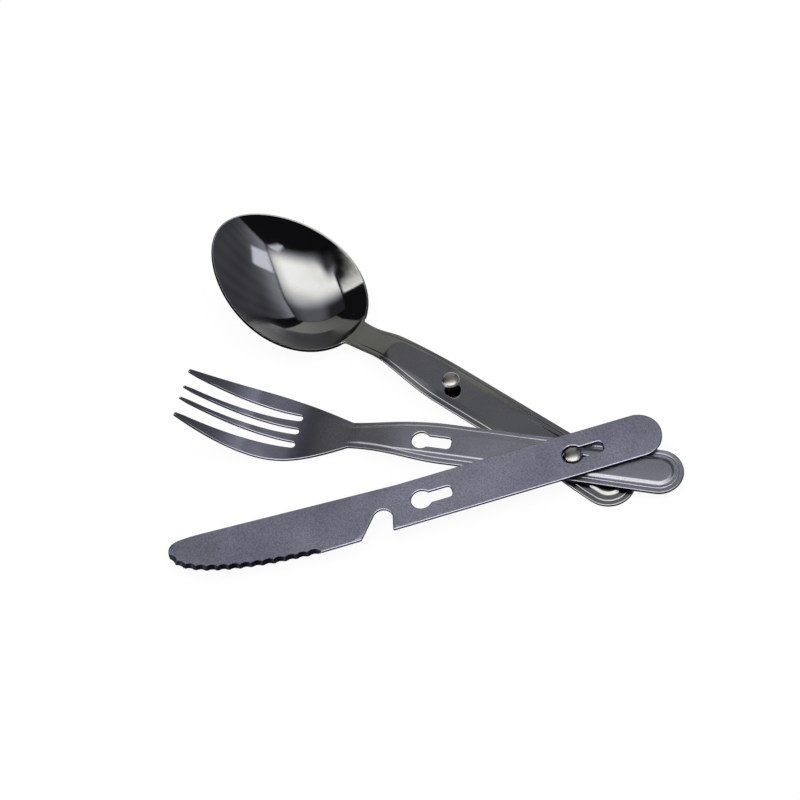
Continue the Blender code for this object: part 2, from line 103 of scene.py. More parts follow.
camera = bpy.data.objects.new("camera", bpy.data.cameras.new("camera"))
bpy.context.scene.collection.objects.link(camera)
camera.data.sensor_width = SENSOR
camera.data.lens = SENSOR * LENS / PICTURE
stand = Matrix((right, upward, -sight)).transposed().to_4x4()
stand.translation = eye
turn = Matrix.Translation((0, 0, -CAMERA_DROP)) @ Matrix.Rotation(math.radians(CAMERA_TURN), 4, "Z")
camera.matrix_world = SET_PLACE @ turn @ stand
bpy.context.scene.camera = camera
print("camera at", [round(v, 3) for v in camera.matrix_world.translation])

# %% [markdown]
# ## Small helpers for nodes
#
# Node trees are clicked together by hand in Blender, but a script can build them too. One helper adds a node
# and feeds its inputs, either from another node's socket or with a plain value. Another does sums, and the
# last one ends a tree that makes a shape.


# %% Node helpers
def add(tree, kind, feeds=None, **settings):
    """A new node; feeds gives its inputs, as sockets or as plain values."""
    made = tree.nodes.new(kind)
    for key, value in settings.items():
        setattr(made, key, value)
    for key, value in (feeds or {}).items():
        if isinstance(value, bpy.types.NodeSocket):
            tree.links.new(value, made.inputs[key])
        else:
            made.inputs[key].default_value = value
    return made


def sum_of(tree, operation, a, b=0.0, c=0.0):
    """One sum on sockets or numbers."""
    return add(tree, "ShaderNodeMath", {0: a, 1: b, 2: c}, operation=operation).outputs[0]


def ramp(tree, value, low, high, start, stop, smooth=False):
    """Maps a value from one range to another, held at both ends."""
    kind = "SMOOTHSTEP" if smooth else "LINEAR"
    feeds = {"Value": value, "From Min": low, "From Max": high, "To Min": start, "To Max": stop}
    return add(tree, "ShaderNodeMapRange", feeds, interpolation_type=kind).outputs[0]


def group_tree(name, kind, inputs, outputs):
    """An empty node group with named sockets; returns it, its inputs and its outputs."""
    tree = bpy.data.node_groups.new(name, kind)
    for label, socket in inputs.items():
        tree.interface.new_socket(label, in_out="INPUT", socket_type="NodeSocket" + socket)
    for label, socket in outputs.items():
        tree.interface.new_socket(label, in_out="OUTPUT", socket_type="NodeSocket" + socket)
    return tree, tree.nodes.new("NodeGroupInput").outputs, tree.nodes.new("NodeGroupOutput").inputs


def end_tree(tree, shape, inlet, outlet, selection=True):
    """Ends a geometry tree: its shape becomes one plain mesh and gets its steel."""
    whole = add(tree, "GeometryNodeRealizeInstances", {"Geometry": shape.outputs[0]})
    feeds = {"Geometry": whole.outputs[0], "Selection": selection, "Material": inlet["Steel"]}
    tree.links.new(add(tree, "GeometryNodeSetMaterial", feeds).outputs[0], outlet["Geometry"])


# %% [markdown]
# ## Rolled steel
#
# Sheet steel comes from the mill with hairlines along the rolling direction, a fine grain from tumbling, and
# faint clouds where it was handled. All the pieces share them, so each effect is one shader group, and every
# finish places the groups with its own strength. The groups read the piece's own coordinates, so the lines
# run along each handle however the piece is swung.

# %% Shader groups: hairlines, tumbled grain, handling clouds
hairlines, inlet, outlet = group_tree(
    "hairlines", "ShaderNodeTree",
    {"Place": "Vector", "Length": "Float", "Fineness": "Float"}, {"Lines": "Float"},
)
across = inlet["Fineness"]
along = sum_of(hairlines, "DIVIDE", 1.0, inlet["Length"])
squeeze = add(hairlines, "ShaderNodeCombineXYZ", {"X": along, "Y": across, "Z": across})
stretched = add(
    hairlines, "ShaderNodeVectorMath", {0: inlet["Place"], 1: squeeze.outputs[0]}, operation="MULTIPLY"
)
streaks = add(hairlines, "ShaderNodeTexNoise", {"Vector": stretched.outputs[0], "Scale": 1.0, "Detail": 3.0})
hairlines.links.new(ramp(hairlines, streaks.outputs[0], 0.3, 0.7, 0.0, 1.0), outlet["Lines"])

grain, inlet, outlet = group_tree(
    "tumbled_grain", "ShaderNodeTree", {"Place": "Vector", "Fineness": "Float"}, {"Grain": "Float"}
)
specks = add(
    grain, "ShaderNodeTexNoise", {"Vector": inlet["Place"], "Scale": inlet["Fineness"], "Detail": 4.0}
)
specks.inputs["Roughness"].default_value = 0.7
grain.links.new(ramp(grain, specks.outputs[0], 0.3, 0.7, 0.0, 1.0), outlet["Grain"])

clouds, inlet, outlet = group_tree(
    "handling_clouds", "ShaderNodeTree", {"Place": "Vector", "Size": "Float"}, {"Clouds": "Float"}
)
patches = add(
    clouds,
    "ShaderNodeTexNoise",
    {"Vector": inlet["Place"], "Scale": sum_of(clouds, "DIVIDE", 1.0, inlet["Size"]), "Detail": 5.0},
)
patches.inputs["Distortion"].default_value = 0.6
clouds.links.new(ramp(clouds, patches.outputs[0], 0.3, 0.7, 0.0, 1.0, True), outlet["Clouds"])
print("shader groups", [g.name for g in (hairlines, grain, clouds)])


# %% [markdown]
# ## Finishes
#
# The spoon and the fork's head are polished, the knife and the fork's handle are satin, and the studs are a
# slightly warm bright steel. Polish and grain change over the neck, since heads are brighter and less
# speckled than handles. A blanked edge is torn rather than cut, so it is rough. A mask that the sheets and
# the studs carry roughens it and paints it almost black as painted shade, and it also paints shade on the
# sheets' backs, on the spoon's near brim and under the studs' heads. The clouds shift the colour and the
# gloss a little, and the hairlines feed a bump that is only a few thousandths of a millimetre high.


# %% Steel finishes
NECK = (0.085, 0.103)
EFFECTS = (
    (hairlines, {"Length": 0.012, "Fineness": 3500.0}), (grain, {"Fineness": 2000.0}),
    (clouds, {"Size": 0.018}),
)


def steel(name, place, tone, polish, haze, speckle, hair):
    """A finish along a piece's place; roughness (polish) and grain (speckle) are given at handle and head."""
    made = bpy.data.materials.new(name)
    made.use_nodes = True
    tree = made.node_tree
    shader = tree.nodes["Principled BSDF"]
    shader.inputs["Metallic"].default_value = 1.0
    spot = add(tree, "ShaderNodeMapping", {0: add(tree, "ShaderNodeTexCoord").outputs["Object"]})
    spot.vector_type = "TEXTURE"
    spot.inputs["Location"].default_value = place.translation
    spot.inputs["Rotation"].default_value = place.to_euler()
    where = spot.outputs[0]
    lines, fine, cloud = (
        add(tree, "ShaderNodeGroup", {"Place": where, **sizes}, node_tree=effect).outputs[0]
        for effect, sizes in EFFECTS
    )

    # Where this mask is 1 the colour is darkened almost to black: painted shade on torn sides, sheet backs,
    # the spoon's near brim and under the studs' heads. It also adds roughness.
    edge = add(tree, "ShaderNodeAttribute", attribute_name="torn_edge_and_painted_shade").outputs["Fac"]
    along = add(tree, "ShaderNodeSeparateXYZ", {0: where}).outputs["X"]
    specks = ramp(tree, along, *NECK, *speckle, True)
    light = sum_of(tree, "MULTIPLY_ADD", sum_of(tree, "SUBTRACT", fine, 0.5), specks, 1.0)
    light = sum_of(tree, "MULTIPLY", light, sum_of(tree, "MULTIPLY_ADD", cloud, 0.10, 0.95))
    light = sum_of(tree, "MULTIPLY", light, sum_of(tree, "MULTIPLY_ADD", edge, -0.99, 1.0))
    colour = add(tree, "ShaderNodeVectorMath", {0: tone, "Scale": light}, operation="SCALE").outputs[0]
    tree.links.new(colour, shader.inputs["Base Color"])

    gloss = ramp(tree, along, *NECK, *polish, True)
    gloss = sum_of(tree, "ADD", gloss, sum_of(tree, "MULTIPLY_ADD", cloud, haze, -0.5 * haze))
    gloss = sum_of(tree, "MULTIPLY_ADD", edge, 0.35, gloss)
    rolled = add(tree, "ShaderNodeAttribute", attribute_name="rolled").outputs["Fac"]
    gloss = sum_of(tree, "MULTIPLY", gloss, sum_of(tree, "MULTIPLY_ADD", rolled, -0.6, 1.0))
    tree.links.new(gloss, shader.inputs["Roughness"])
    relief = sum_of(tree, "MULTIPLY_ADD", fine, 0.5, lines)
    bump = add(tree, "ShaderNodeBump", {"Height": relief, "Strength": hair, "Distance": 0.00001})
    tree.links.new(bump.outputs[0], shader.inputs["Normal"])
    return made


# The fork's and the knife's tones are lighter and bluer than the spoon's though all are one sheet: painted
# cool light.
FINISHES = {
    "polished_steel": (SPOON_PLACE, (0.55, 0.55, 0.55), (0.09, 0.05), 0.02, (0.28, 0.03), 0.2),
    "fork_steel": (FORK_PLACE, (0.63, 0.63, 0.72), (0.31, 0.15), 0.04, (0.45, 0.12), 0.25),
    "satin_steel": (KNIFE_PLACE, (0.60, 0.60, 0.75), (0.35, 0.35), 0.06, (0.75, 0.75), 0.4),
    # The flutes' steel is almost black: painted shade in the ground flutes.
    "ground_steel_painted_dark": (KNIFE_PLACE, (0.11, 0.11, 0.15), (0.28, 0.28), 0.10, (0.25, 0.25), 0.3),
    "stud_steel": (SPOON_PLACE, (0.70, 0.68, 0.63), (0.22, 0.22), 0.12, (0.18, 0.18), 0.3),
}
polished_steel, fork_steel, satin_steel, ground_steel_painted_dark, stud_steel = (
    steel(name, *look) for name, look in FINISHES.items()
)
print("finishes", list(FINISHES))

# %% [markdown]
# ## From an outline to a sheet
#
# A stamped piece is a flat blank first: an outline, with holes. The blank is filled with triangles by a
# Delaunay mesh, which keeps the outline exactly and goes through any points it is given, so there can be many
# where the sheet bends sharply. Then it is pressed, and last it gets its thickness: a lower face one gauge
# below the upper one, and an edge all round. The edge is a shallow bright bevel, a tight corner and a torn
# side that is rounded below. Masks on the mesh say which places are bevelled, which are torn, and which carry
# painted shade: the torn side is painted almost black, and the faces can be darkened too. The pressed sheets
# take their normals from the upper face and the edge themselves, which keeps reflections calm.


# %% Outlines
FINE_STEP = 0.00005


def ease(share):
    """0 to 1 with a flat start and a flat end."""
    share = np.clip(share, 0, 1)
    return share * share * (3 - 2 * share)


def between(value, low, high):
    """How far value lies along the way from low to high."""
    return (value - low) / (high - low)


def arc(centre, radius, start, stop, steps):
    """Points on a circle, from one angle to another in degrees."""
    angles = np.radians(np.linspace(start, stop, steps + 1))
    return np.stack([centre[0] + radius * np.cos(angles), centre[1] + radius * np.sin(angles)], axis=1)


def bezier(points, steps):
    """Points along a cubic curve."""
    a, b, c, d = (np.array(p) for p in points)
    t = np.linspace(0, 1, steps + 1)[:, None]
    return (1 - t) ** 3 * a + 3 * (1 - t) ** 2 * t * b + 3 * (1 - t) * t * t * c + t**3 * d


def even_points(points, count):
    """That many points at even distances along a line."""
    lengths = np.concatenate([[0.0], np.cumsum(np.linalg.norm(np.diff(points, axis=0), axis=1))])
    places = np.linspace(0, lengths[-1], count)
    return np.stack([np.interp(places, lengths, points[:, axis]) for axis in (0, 1)], axis=1)


def softened(loop, spacing, blur):
    """A closed outline at an even spacing, with its corners rounded over about blur."""
    closed = np.concatenate([loop, loop[:1]])
    size = np.linalg.norm(np.diff(closed, axis=0), axis=1).sum()
    fine = even_points(closed, int(size / FINE_STEP) + 1)[:-1]
    for _ in range(int(2 * (blur / FINE_STEP) ** 2)):
        fine = 0.5 * fine + 0.25 * (np.roll(fine, 1, axis=0) + np.roll(fine, -1, axis=0))
    return even_points(np.concatenate([fine, fine[:1]]), int(size / spacing) + 1)[:-1]


def outward(loop):
    """Direction out of the sheet at each point of an outline that has the sheet on its left."""
    along = np.roll(loop, -1, axis=0) - np.roll(loop, 1, axis=0)
    along /= np.linalg.norm(along, axis=1)[:, None]
    return np.stack([along[:, 1], -along[:, 0]], axis=1)


def inside(points, loops):
    """Which points lie on the sheet."""
    result = np.zeros(len(points), bool)
    for loop in loops:
        after = np.roll(loop, -1, axis=0)
        for part in np.array_split(np.arange(len(points)), len(points) // 2000 + 1):
            x, y = points[part, :1], points[part, 1:]
            crossing = (loop[:, 1] > y) != (after[:, 1] > y)
            step = np.where(crossing, after[:, 1] - loop[:, 1], 1.0)
            reach = loop[:, 0] + (y - loop[:, 1]) / step * (after[:, 0] - loop[:, 0])
            result[part] ^= (crossing & (x < reach)).sum(axis=1) % 2 == 1
    return result


def clear_of(points, others, gap):
    """Those points that keep a gap from all the others."""
    tree = KDTree(len(others))
    for i, (x, y) in enumerate(others.tolist()):
        tree.insert((x, y, 0), i)
    tree.balance()
    return points[[tree.find((x, y, 0))[2] > gap for x, y in points.tolist()]]


def grid(low, high, spacing):
    """Points on a square grid."""
    x, y = (np.arange(a, b, spacing) for a, b in zip(low, high))
    return np.stack(np.meshgrid(x, y), axis=2).reshape(-1, 2)


# %% Blank and closed sheet
GAUGE = 0.00114
BEVEL_WIDTH, CORNER, BURR = 0.00025, 0.00005, 0.00012
BEVEL_TILTS = np.radians((11, 14, 18, 23, 29))
ROLL_WIDTH = BEVEL_WIDTH + CORNER
TORN_TILTS, BRIGHT_TILT = (0.75, 1.25), 1.0


def blank(loops, inner):
    """Fills the outlines with triangles through the inner points; returns points, triangles and outlines."""
    points = np.concatenate([*loops, inner])
    rings, links, start = [], [], 0
    for loop in loops:
        ring = np.arange(start, start + len(loop))
        rings.append(ring)
        links += list(zip(ring.tolist(), np.roll(ring, -1).tolist()))
        start += len(loop)
    vectors = [Vector(p) for p in points.tolist()]
    made, _, faces, origin = delaunay_2d_cdt(vectors, links, [], 0, 1e-8)[:4]
    assert len(made) == len(points) and all(o == [i] for i, o in enumerate(origin))
    faces = np.array(faces)
    return points, faces[inside(points[faces].mean(axis=1), loops)], rings


def closed_sheet(points, normals, faces, rings, outs, shade_and_dull):
    """Corners, normals, polygons and masks of a sheet from its upper face; the last argument paints shade on
    both faces.
    """
    count = len(points)
    corners, facing = [points, points - GAUGE * normals], [normals, -normals]
    torn_and_shaded, rolled = [*shade_and_dull], [np.zeros(2 * count)]
    polygons = faces.tolist() + (faces[:, ::-1] + count).tolist()
    profile, drop, reached = [], 0.0, 0.0
    for reach, tilt in zip(BEVEL_WIDTH * np.linspace(0.1, 1, len(BEVEL_TILTS)), BEVEL_TILTS):
        drop += (reach - reached) * math.tan(tilt)
        reached = reach
        profile.append((reach, drop, tilt))
    for tilt in np.linspace(BEVEL_TILTS[-1], 0.5 * math.pi, 4)[1:]:
        turn = between(tilt, BEVEL_TILTS[-1], 0.5 * math.pi) * 0.5 * math.pi
        profile.append((BEVEL_WIDTH + CORNER * math.sin(turn), drop + CORNER * (1 - math.cos(turn)), tilt))
    for turn in np.radians((0, 45, 90)):
        reach = ROLL_WIDTH - BURR * (1 - math.cos(turn))
        profile.append((reach, GAUGE - BURR * (1 - math.sin(turn)), 0.5 * math.pi + turn))
    start = 2 * count
    for ring, out in zip(rings, outs):
        spot, up = points[ring], normals[ring]
        side = np.c_[out, np.zeros(len(out))]
        side -= (side * up).sum(axis=1)[:, None] * up
        side /= np.linalg.norm(side, axis=1)[:, None]
        rows = [ring]
        for reach, drop, tilt in profile:
            corners.append(spot + reach * side - drop * up)
            facing.append(up * math.cos(tilt) + side * math.sin(tilt))
            # Painted shade: the torn side gets a mask near 1, which darkens its colour almost to black.
            torn_and_shaded.append(np.full(len(ring), float(ease(between(tilt, *TORN_TILTS)))))
            rolled.append(np.full(len(ring), float(tilt < BRIGHT_TILT)))
            rows.append(np.arange(start, start + len(ring)))
            start += len(ring)
        rows.append(ring + count)
        for high, below in zip(rows, rows[1:]):
            quads = np.stack([below, np.roll(below, -1), np.roll(high, -1), high], axis=1)
            polygons += quads.tolist()
    masks = {"torn_edge_and_painted_shade": np.concatenate(torn_and_shaded), "rolled": np.concatenate(rolled)}
    return np.concatenate(corners), np.concatenate(facing), polygons, masks


def ring_rows(count, sides):
    """Indices of closed rings of points, one row for each ring."""
    rows = np.arange(count * sides).reshape(count, sides)
    return np.c_[rows, rows[:, :1]]


def quads_of(rows):
    """Faces between neighbouring rows of points."""
    corners = [rows[:-1, :-1], rows[:-1, 1:], rows[1:, 1:], rows[1:, :-1]]
    return np.stack(corners, axis=2).reshape(-1, 4).tolist()


def new_piece(name, corners, polygons):
    """An object with a plain smooth mesh, in the scene."""
    mesh = bpy.data.meshes.new(name)
    mesh.from_pydata(corners.tolist(), [], polygons)
    mesh.shade_smooth()
    made = bpy.data.objects.new(name, mesh)
    bpy.context.scene.collection.objects.link(made)
    return made


def give(mesh, name, values):
    """A number for each corner of a mesh."""
    mesh.attributes.new(name, "FLOAT", "POINT").data.foreach_set("value", np.asarray(values, np.float32))


def formed(piece, tree, sizes):
    """Runs a geometry node tree on a piece and leaves the plain result in its place."""
    modifier = piece.modifiers.new(tree.name, "NODES")
    modifier.node_group = tree
    for item in tree.interface.items_tree:
        if item.in_out == "INPUT" and item.name in sizes:
            modifier[item.identifier] = sizes[item.name]
    seen = piece.evaluated_get(bpy.context.evaluated_depsgraph_get())
    result = bpy.data.meshes.new_from_object(seen)
    piece.modifiers.remove(modifier)
    piece.data = result
    return result


# %% [markdown]
# ## Pressed handles
#
# The spoon's and the fork's handles have a flat panel inside a pressed border. A shoulder falls from the
# panel, widest round the tail. Then the border slopes gently to the edge, by an amount that differs between
# the pieces and along each handle, with one thin groove and a few fine lines that follow the outline. It
# could be sculpted, or cut with swept tools, but the rule is simple: height depends only on the distances
# from the panel and from the edge. So a node tree does the pressing. Each point of the blank carries those
# distances and slopes, and the tree turns them into a height.

# %% Geometry nodes: the pressed border
PRESS_SIZES = {
    "Groove Place": 0.0018, "Groove Width": 0.0006, "Groove Depth": 0.00011,
    "Line Place": 0.0004, "Line Pitch": 0.0004, "Lines": 3.0, "Line Depth": 0.000018,
}
kinds = {"Geometry": "Geometry", **{label: "Float" for label in PRESS_SIZES}, "Steel": "Material"}
press, inlet, outlet = group_tree("pressed_border", "GeometryNodeTree", kinds, {"Geometry": "Geometry"})
inset, outside, shoulder, shoulder_drop, border_fall, panel_rise, pressing = (
    add(press, "GeometryNodeInputNamedAttribute", {"Name": label}, data_type="FLOAT").outputs[0]
    for label in ("inset", "outside", "shoulder", "shoulder_drop", "border_fall", "panel_rise", "pressing")
)
fall = ramp(press, outside, 0.0, shoulder, 0.0, shoulder_drop, True)
beyond = sum_of(press, "MAXIMUM", sum_of(press, "SUBTRACT", outside, shoulder), 0.0)
fall = sum_of(press, "MULTIPLY_ADD", beyond, border_fall, fall)

from_groove = sum_of(press, "ABSOLUTE", sum_of(press, "SUBTRACT", inset, inlet["Groove Place"]))
groove_half = sum_of(press, "MULTIPLY", inlet["Groove Width"], 0.5)
groove = ramp(press, from_groove, 0.0, groove_half, inlet["Groove Depth"], 0.0, True)

turns = sum_of(press, "DIVIDE", sum_of(press, "SUBTRACT", inset, inlet["Line Place"]), inlet["Line Pitch"])
wave = sum_of(press, "COSINE", sum_of(press, "MULTIPLY", turns, 2 * math.pi))
wave = sum_of(press, "MULTIPLY_ADD", wave, -0.5, 0.5)
begun = sum_of(press, "GREATER_THAN", turns, 0.0)
unended = sum_of(press, "LESS_THAN", turns, inlet["Lines"])
lined = sum_of(press, "MULTIPLY", sum_of(press, "MULTIPLY", begun, unended), inlet["Line Depth"])
cuts = sum_of(press, "MULTIPLY_ADD", wave, lined, groove)
total = sum_of(press, "SUBTRACT", panel_rise, sum_of(press, "ADD", fall, cuts))
lift = add(press, "ShaderNodeCombineXYZ", {"Z": sum_of(press, "MULTIPLY", total, pressing)})
pressed = add(press, "GeometryNodeSetPosition", {"Geometry": inlet["Geometry"], "Offset": lift.outputs[0]})
end_tree(press, pressed, inlet, outlet)
print("pressed_border has", len(press.nodes), "nodes")


# %% Press a blank and give it its thickness
PANEL_HALF, LEAST_BORDER, TAIL_STEEPNESS = 0.0043, 0.0026, 0.28
TAIL_ZONE, SHOULDER_WIDTH, SHOULDER_AT_TAIL = (0.0, 0.03), 0.0006, 0.0009
TRIM, PANEL_GRID, HEAD_GRID, POINT_GAP = 0.00008, 0.0011, 0.00065, 0.0004


def rib_points(loop, out, neck):
    """Rows of points that follow the edge along the handle, close enough for the finest line."""
    handle = np.flatnonzero(loop[:, 0] < neck)[::2]
    loop, out = loop[handle], out[handle]
    room = np.abs(loop[:, 1]) + np.where(loop[:, 0] < 0, 0.01, 0) - 0.0006
    depths = np.arange(0.00010, 0.0062, 0.00016)
    return np.concatenate([(loop - depth * out)[depth < room] for depth in depths])


def pressed_piece(name, loops, neck, half_width, tail_centre, panel_end, steepness, border_fall, edge_rise,
                  pressing, height, shade_and_dull, steel_finish, place):
    """A pressed sheet: blank, pressed border, thickness, place."""
    outs = [outward(loop) for loop in loops]
    trimmed = [loop - (ROLL_WIDTH + TRIM) * out for loop, out in zip(loops, outs)]
    ribs = rib_points(trimmed[0], outs[0], neck)
    ends = np.concatenate(trimmed)
    low, high = ends.min(axis=0), ends.max(axis=0)
    panel = grid(low, (neck, high[1]), PANEL_GRID)
    head = grid((neck, low[1]), high, HEAD_GRID)
    rims = [trimmed[0] - depth * outs[0] for depth in (0.0002, 0.0005)]
    rims = [rim[rim[:, 0] >= neck] for rim in rims]
    inner = np.concatenate([panel[inside(panel, trimmed)], head[inside(head, trimmed)]])
    inner = clear_of(inner, np.concatenate([ribs, *rims, ends]), POINT_GAP)
    inner = np.concatenate([ribs, *rims, inner])
    points, faces, rings = blank(trimmed, inner)
    x, y = points[:, 0], points[:, 1]
    blank_piece = new_piece(name, np.c_[points, height(x, y)], faces.tolist())
    half = half_width(tail_centre)
    round_end = half - np.hypot(x - tail_centre, y)
    straight = half_width(x) - np.abs(y)
    inset = np.maximum(0, np.where(x < tail_centre, round_end, straight))
    panel_half = np.minimum(PANEL_HALF, half_width(x) - LEAST_BORDER)
    outside = np.where(x < tail_centre, np.hypot(x - tail_centre, y), np.abs(y)) - panel_half
    cap = np.hypot(np.maximum(0, x - panel_end), y) - panel_half
    at_tail = 1 - ease(between(x, *TAIL_ZONE))
    shoulder = SHOULDER_WIDTH + SHOULDER_AT_TAIL * at_tail
    drop = shoulder * (steepness + (TAIL_STEEPNESS - steepness) * at_tail)
    border = np.where(x < tail_centre, half, half_width(x)) - panel_half
    carried = {
        "inset": inset, "outside": np.maximum(outside, cap), "shoulder": shoulder, "shoulder_drop": drop,
        "border_fall": border_fall(x), "pressing": pressing(x),
        "panel_rise": edge_rise(x) + drop + border_fall(x) * (border - shoulder),
    }
    for label, values in carried.items():
        give(blank_piece.data, label, values)
    mesh = formed(blank_piece, press, {**PRESS_SIZES, "Steel": steel_finish})
    top, facing = np.zeros((2, len(points), 3), np.float32)
    mesh.vertices.foreach_get("co", top.ravel())
    mesh.vertex_normals.foreach_get("vector", facing.ravel())
    bpy.data.objects.remove(blank_piece)
    corners, normals, polygons, masks = closed_sheet(top, facing, faces, rings, outs, shade_and_dull(x, y))
    turn3 = np.array(place.to_3x3())
    made = new_piece(name, corners @ turn3.T + np.array(place.translation), polygons)
    made.data.normals_split_custom_set_from_vertices((normals @ turn3.T).tolist())
    for label, mask in masks.items():
        give(made.data, label, mask)
    made.data.materials.append(steel_finish)
    print(name, "has", len(made.data.vertices), "points")
    return made


# %% [markdown]
# ## Spoon
#
# The spoon's rim line runs level along the handle, rises a little at the neck, dips at the heel of the bowl
# and climbs to the tip. The bowl hangs below that line, deepest in its middle, and its flank is straighter
# towards the heel. In plan it is a straight handle with a round tail, a narrow neck, and an egg for the bowl,
# blended where they meet. The brim on the near side of the heel carries painted shade and is a little
# rougher.

# %% Spoon outline and form
SPOON_TAIL, SPOON_TAIL_HALF = 0.0252, 0.00975
SPOON_SHOULDER, SPOON_NECK, SPOON_NECK_TOP = 0.058, 0.101, 0.086
BOWL_CENTRE, BOWL_HALF, BOWL_HEEL_LENGTH, BOWL_TIP_LENGTH, BOWL_POINT = 0.1345, 0.0244, 0.0292, 0.035, 0.10
BOWL_DEPTH, BOWL_HEEL, NECK_RISE, HEEL_DIP, TIP_RISE = 0.0099, 0.107, 0.0016, 0.0028, 0.0187
SPOON_HANDLE_WIDTH, SPOON_NECK_WIDTH, SPOON_FLARE, FLARE_END = 0.0175, 0.0109, 0.002, 0.010
BOWL_BLEND, BOWL_FULLNESS, RIM_BEND, FLANK = 0.0036, 2.3, 1.2, 0.672
SPOON_PIVOT = SPOON_TAIL_HALF - SPOON_TAIL


def spoon_half_width(x):
    """Half the spoon's width at x, from the handle to the middle of the bowl."""
    narrowing = ease(between(x, SPOON_SHOULDER, SPOON_NECK))
    stem = SPOON_HANDLE_WIDTH + (SPOON_NECK_WIDTH - SPOON_HANDLE_WIDTH) * narrowing
    stem = 0.5 * (stem + SPOON_FLARE * (1 - ease(between(x, SPOON_PIVOT, FLARE_END))))
    room = 1 - ((x - BOWL_CENTRE) / BOWL_HEEL_LENGTH) ** 2
    bowl = BOWL_HALF * np.where(room > 0, np.sqrt(np.maximum(room, 0)), room)
    return 0.5 * (stem + bowl + np.sqrt((stem - bowl) ** 2 + BOWL_BLEND**2))


def bowl_place(x, y):
    """How far out in the bowl a point lies, from 0 in the middle to 1 at the rim, and how near the heel."""
    along = (x - BOWL_CENTRE) / np.where(x > BOWL_CENTRE, BOWL_TIP_LENGTH, BOWL_HEEL_LENGTH)
    across = y / (BOWL_HALF * (1 - np.where(x > BOWL_CENTRE, BOWL_POINT, 0.0) * along * along))
    out = np.hypot(along, across)
    return out, ease(between(-along / np.maximum(out, 0.001), -0.75, 0.6))


def spoon_height(x, y):
    """Height of the spoon's upper face before the border is pressed."""
    handle = NECK_RISE * ease(between(x, SPOON_SHOULDER, SPOON_NECK_TOP))
    dip = NECK_RISE - (NECK_RISE + HEEL_DIP) * ease(between(x, SPOON_NECK_TOP, BOWL_HEEL))
    tip = BOWL_CENTRE + BOWL_TIP_LENGTH
    climb = (TIP_RISE + HEEL_DIP) * np.maximum(0, between(x, BOWL_HEEL, tip)) ** RIM_BEND - HEEL_DIP
    rim = np.where(x < SPOON_NECK_TOP, handle, np.where(x < BOWL_HEEL, dip, climb))
    out, heel = bowl_place(x, y)
    curved = out**BOWL_FULLNESS
    steepness = BOWL_FULLNESS * FLANK ** (BOWL_FULLNESS - 1)
    flanked = np.minimum(out, FLANK) ** BOWL_FULLNESS + steepness * np.maximum(0, out - FLANK)
    flanked /= FLANK**BOWL_FULLNESS + steepness * (1 - FLANK)
    return rim - BOWL_DEPTH * np.maximum(0, 1 - curved - heel * (flanked - curved))


def spoon_shaded_brim(x, y):
    """Painted shade for the spoon's two faces: a darker, rougher band at the brim by the heel's near side,
    above.
    """
    out, heel = bowl_place(x, y)
    brim_shade = 0.42 * heel * ease(between(out, 0.62, 0.85)) * ease(between(y, -0.004, 0.008))
    return brim_shade * ease(between(x, 0.106, 0.110)), 0 * x


x = np.linspace(SPOON_PIVOT, BOWL_CENTRE, 600)
side = np.stack([x, spoon_half_width(x)], axis=1)
angle = np.linspace(-0.5 * math.pi, 0.5 * math.pi, 300)
tip = BOWL_CENTRE + BOWL_TIP_LENGTH * np.cos(angle)
tip = np.stack([tip, side[-1, 1] * np.sin(angle) * (1 - BOWL_POINT * np.cos(angle) ** 2)], axis=1)
tail = arc((SPOON_PIVOT, 0), SPOON_TAIL_HALF, 90, 270, 200)
spoon_loop = softened(np.concatenate([tail, side * (1, -1), tip, side[::-1]]), 0.0003, 0.0002)

# %% Make the spoon
spoon = pressed_piece(
    "spoon_sheet", [spoon_loop], neck=SPOON_NECK, half_width=spoon_half_width, tail_centre=SPOON_PIVOT,
    panel_end=0.0825, steepness=0.10,
    border_fall=lambda x: 0.035 + 0.095 * ease(between(x, *TAIL_ZONE)),
    edge_rise=lambda x: 0.00037 + 0.00011 * ease(between(x, -0.012, 0.012)),
    pressing=lambda x: 1 - ease(between(x, 0.091, 0.105)),
    height=spoon_height, shade_and_dull=spoon_shaded_brim, steel_finish=polished_steel, place=SPOON_PLACE,
)

# %% [markdown]
# ## Fork
#
# The fork's handle is pressed with the same tool as the spoon's. Its head dips to a belly and climbs to the
# points, and three gaps with round roots part the four tines. Both keyholes are a round hole that lets a
# stud's head through, with a slot that runs back from it.

# %% Keyholes
STUD_SPACING = 0.0565
HOLE_RADIUS, FORK_FRONT_HOLE, SLOT_END = 0.0038, 0.0034, 0.0113


def keyhole(x, radius=HOLE_RADIUS):
    """A keyhole, with the sheet on its left."""
    half, corner = 0.0023, 0.0014
    mouth = math.degrees(math.asin(half / radius))
    end = x - SLOT_END + corner
    hole = arc((x, 0), radius, mouth - 180, 180 - mouth, 80)
    high = arc((end, half - corner), corner, 90, 180, 20)
    low = arc((end, corner - half), corner, 180, 270, 20)
    return softened(np.concatenate([hole, high, low]), 0.00028, 0.0001)[::-1]


# %% Fork outline and form
FORK_TAIL, FORK_TAIL_HALF, FORK_SHOULDER, FORK_NECK = 0.0399, 0.0089, 0.048, 0.084
FORK_DIP_START, FORK_WIDEST, FORK_TIP, FORK_BELLY = 0.062, 0.118, 0.1468, 0.106
FORK_PANEL, BELLY_DIP, FORK_RISE, TINE_ROOT, TINE_POINT = 0.0024, 0.0055, 0.0128, 0.1045, 0.003
FORK_HANDLE_WIDTH, FORK_NECK_WIDTH, FORK_HEAD_WIDTH, FORK_TIP_WIDTH = 0.0168, 0.0108, 0.028, 0.0206
FORK_FLARE, TIP_BEND, RISE_BEND = 0.001, 1.8, 1.82
FORK_PIVOT = FORK_TAIL_HALF - FORK_TAIL


